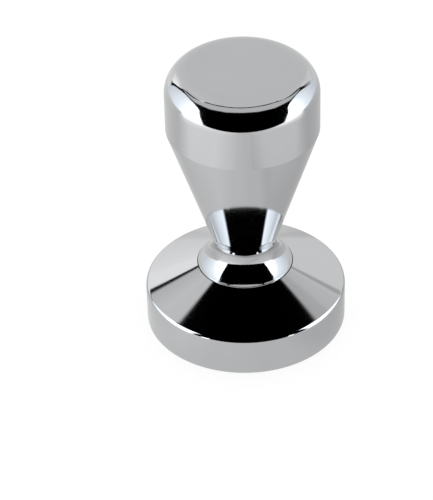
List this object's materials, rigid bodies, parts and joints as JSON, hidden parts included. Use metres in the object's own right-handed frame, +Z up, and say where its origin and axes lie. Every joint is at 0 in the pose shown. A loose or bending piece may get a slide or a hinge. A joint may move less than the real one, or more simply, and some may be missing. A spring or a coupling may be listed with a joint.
{
  "type": "espresso tamper",
  "caption": "Coffee tamper: a wide flat-faced round base with a low conical top, and a waisted stem that widens to a broad round-shouldered grip and unscrews from the base.",
  "frame": {"origin": "centre of the flat pressing face, on the surface the tamper stands on", "axes": "+Z up along the axis that every piece is turned about, from the pressing face to the grip's top"},
  "size_m": [0.058, 0.058, 0.085],
  "materials": {
    "base_metal": "mirror polished",
    "handle_metal": "mirror polished",
    "stud_steel": "plain machined steel",
    "washer_plastic": "natural nylon"
  },
  "bodies": {
    "base": {"pressing_base": "base_metal", "threaded_stud": "stud_steel"},
    "washer": {"friction_washer": "washer_plastic"},
    "grip": {"handle": "handle_metal"}
  },
  "joints": [
    {"name": "handle_rise", "type": "slide", "parent": "base", "child": "washer", "axis": [0, 0, 1], "range_m": [0, 0.01]},
    {"name": "handle_turn", "type": "hinge", "parent": "washer", "child": "grip", "pos_m": [0, 0, 0], "axis": [0, 0, 1], "range_deg": [0, 2880]}
  ],
  "couplings": [
    {"joint": "handle_rise", "follows": "handle_turn", "m_per_rad": 0.00019894}
  ]
}
